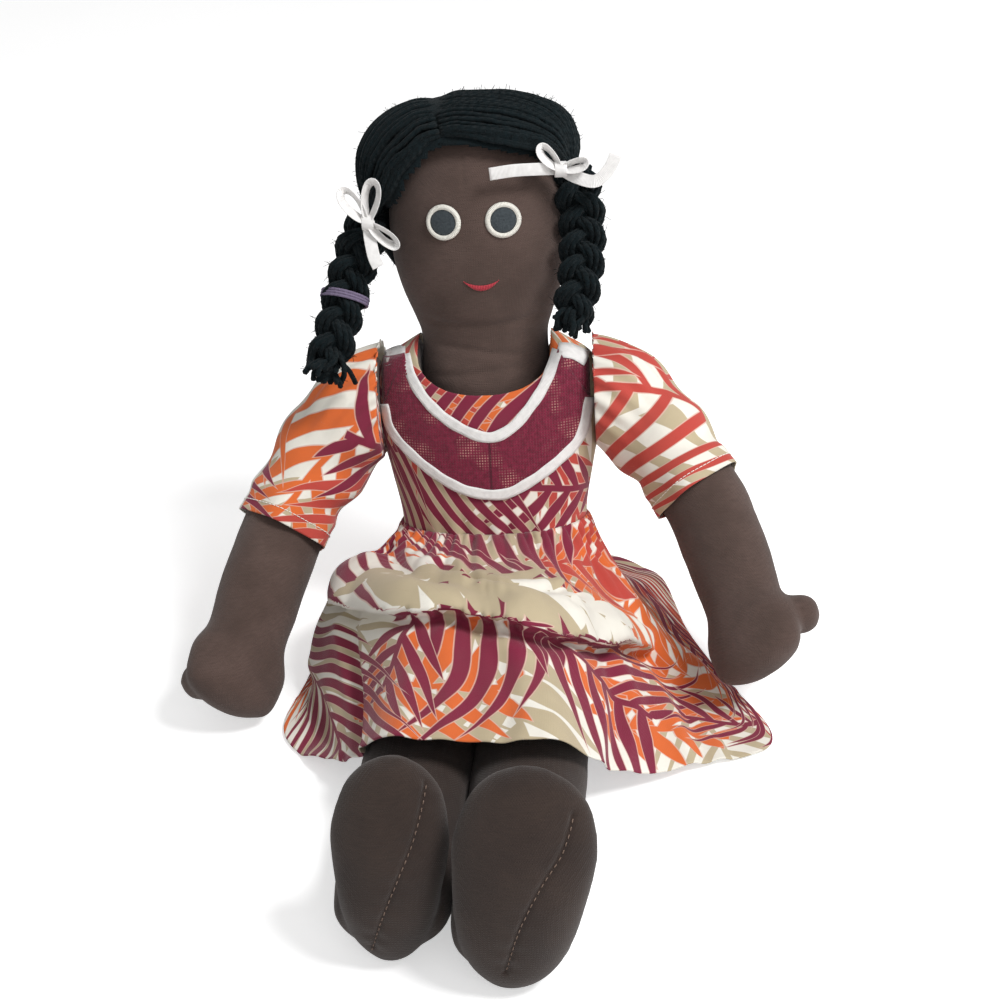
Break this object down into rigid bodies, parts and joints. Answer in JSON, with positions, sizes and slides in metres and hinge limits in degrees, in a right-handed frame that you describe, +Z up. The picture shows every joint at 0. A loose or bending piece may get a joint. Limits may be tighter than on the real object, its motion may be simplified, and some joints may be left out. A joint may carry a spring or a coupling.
{
  "type": "rag doll",
  "caption": "Sewn cloth doll that sits with its legs forward, with yarn hair in plaits tied with ribbon bows, and a short-sleeved cotton dress with a mesh yoke.",
  "frame": {"origin": "on the flat seat under the torso, in the middle from left to right", "axes": "+Z up, -Y the way the doll faces, +X towards the doll's left hand"},
  "size_m": [0.3191, 0.3775, 0.2821],
  "materials": {
    "skin": "dark brown plain-weave cotton",
    "yarn": "black wool yarn",
    "band": "grey purple covered elastic",
    "ribbon": "white grosgrain ribbon",
    "eye_white": "off-white felt",
    "pupil": "dark grey felt",
    "mouth": "red satin stitch",
    "print": "printed cotton in burgundy, orange, rust and off-white fronds",
    "mesh": "burgundy open mesh over cotton",
    "button": "white plastic button"
  },
  "bodies": {
    "torso": {"torso": "skin", "bodice_front": "print", "bodice_back": "print", "yoke": "mesh", "yoke_trim_inner": "ribbon", "yoke_trim_outer": "ribbon", "back_button": "button", "skirt_back": "print"},
    "head": {"head": "skin", "hair_right": "yarn", "hair_left": "yarn", "eye_white_right": "eye_white", "eye_white_left": "eye_white", "pupil_right": "pupil", "pupil_left": "pupil", "mouth": "mouth", "bow_right": "ribbon", "bow_left": "ribbon"},
    "plait_right": {"plait_right": "yarn", "plait_band": "band"},
    "plait_left": {"plait_left": "yarn"},
    "arm_right": {"arm_right": "skin", "sleeve_right": "print"},
    "arm_left": {"arm_left": "skin", "sleeve_left": "print"},
    "lap": {"skirt_front": "print"},
    "leg_right": {"leg_right": "skin"},
    "leg_left": {"leg_left": "skin"}
  },
  "joints": [
    {"name": "head_nod", "type": "hinge", "parent": "torso", "child": "head", "pos_m": [0, 0.01149, 0.13886], "axis": [1, 0, 0], "range_deg": [-15, 20], "deforming": ["plait_right", "plait_band", "plait_left"]},
    {"name": "plait_right_swing", "type": "hinge", "parent": "head", "child": "plait_right", "pos_m": [-0.05428, 0.01365, 0.22576], "axis": [0, 0.9848, -0.1736], "range_deg": [0, 80]},
    {"name": "plait_left_swing", "type": "hinge", "parent": "head", "child": "plait_left", "pos_m": [0.04968, 0.01731, 0.24653], "axis": [0, -0.9848, 0.1736], "range_deg": [0, 80]},
    {"name": "shoulder_right", "type": "hinge", "parent": "torso", "child": "arm_right", "pos_m": [-0.056, 0.00957, 0.12802], "axis": [-1, 0, 0], "range_deg": [0, 150], "deforming": ["plait_right", "plait_band"]},
    {"name": "shoulder_left", "type": "hinge", "parent": "torso", "child": "arm_left", "pos_m": [0.056, 0.00957, 0.12802], "axis": [-1, 0, 0], "range_deg": [0, 150], "deforming": ["plait_left"]},
    {"name": "lap_fold", "type": "hinge", "parent": "torso", "child": "lap", "pos_m": [0, -0.035, 0.022], "axis": [1, 0, 0], "range_deg": [-10, 60], "deforming": ["skirt_front"]},
    {"name": "hip_right", "type": "hinge", "parent": "lap", "child": "leg_right", "pos_m": [-0.027, -0.035, 0.022], "axis": [1, 0, 0], "range_deg": [0, 40]},
    {"name": "hip_left", "type": "hinge", "parent": "lap", "child": "leg_left", "pos_m": [0.027, -0.035, 0.022], "axis": [1, 0, 0], "range_deg": [0, 40]}
  ]
}
